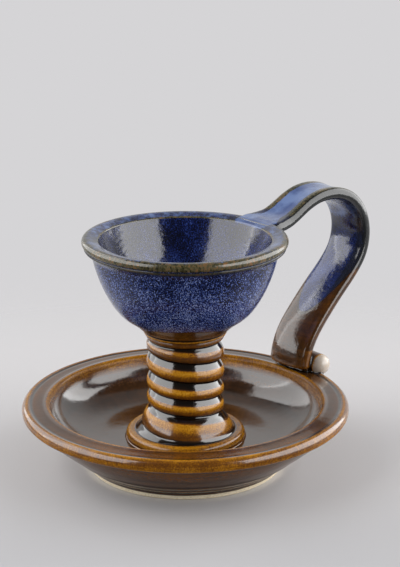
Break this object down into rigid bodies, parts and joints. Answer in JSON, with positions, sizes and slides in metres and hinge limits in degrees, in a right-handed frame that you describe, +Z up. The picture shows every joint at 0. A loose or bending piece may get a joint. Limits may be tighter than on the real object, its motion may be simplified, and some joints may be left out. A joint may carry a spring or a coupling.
{
  "type": "chamberstick",
  "caption": "Stoneware chamberstick: a drip cup with a candle socket on a spiral-ribbed stem, standing in a wide saucer, with a strap finger loop from cup rim to saucer rim.",
  "frame": {"origin": "on the wheel axis, in the plane of the foot ring that stands on the table", "axes": "+Z up along the candle socket, +X towards the strap handle"},
  "size_m": [0.1827, 0.15, 0.1194],
  "materials": {
    "brown_glaze": "gloss, amber where it thins over edges",
    "blue_glaze": "gloss, speckled, olive where it thins over edges"
  },
  "bodies": {
    "root": {"saucer": "brown_glaze", "stem": "brown_glaze", "stem_slip": "brown_glaze", "cup_slip": "brown_glaze", "handle_foot_slip": "brown_glaze", "drip_cup": "blue_glaze", "strap_handle": "blue_glaze", "handle_root_slip": "blue_glaze"}
  },
  "joints": []
}
